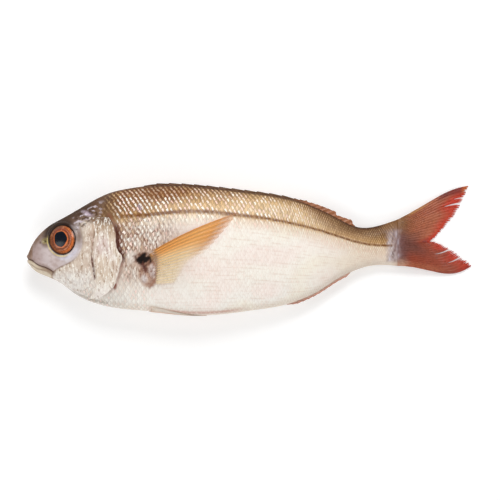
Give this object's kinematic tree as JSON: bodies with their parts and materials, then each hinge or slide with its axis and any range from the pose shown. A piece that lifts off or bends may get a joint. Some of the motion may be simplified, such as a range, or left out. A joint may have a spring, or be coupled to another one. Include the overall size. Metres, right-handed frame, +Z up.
{
  "type": "whole raw seabream",
  "caption": "Whole raw seabream lying on its right side with its jaws closed and its fins folded back; food that rests on a board, plate, tray or ice.",
  "frame": {"origin": "On the surface the fish rests on, under the middle of its bounding box.", "axes": "+X from the snout towards the tail, +Y from the belly towards the back, +Z up, from the right flank that it rests on to the left flank"},
  "size_m": [0.2506, 0.0762, 0.0338],
  "materials": {
    "scaled_skin": "wet, silvery, golden brown on the back",
    "cheek_skin": "wet, silvery",
    "eye": "wet and glossy, with an orange and brown iris",
    "amber_fin": "wet, translucent",
    "brown_fin": "wet",
    "red_fin": "wet, red along its hind edge"
  },
  "bodies": {
    "root": {"body": "scaled_skin", "left_eye": "eye", "right_eye": "eye", "left_gill_cover": "cheek_skin", "right_gill_cover": "cheek_skin", "left_pectoral_fin": "amber_fin", "right_pectoral_fin": "amber_fin", "left_pelvic_fin": "amber_fin", "right_pelvic_fin": "amber_fin", "dorsal_fin": "brown_fin", "anal_fin": "red_fin", "tail_fin": "red_fin"}
  },
  "joints": []
}
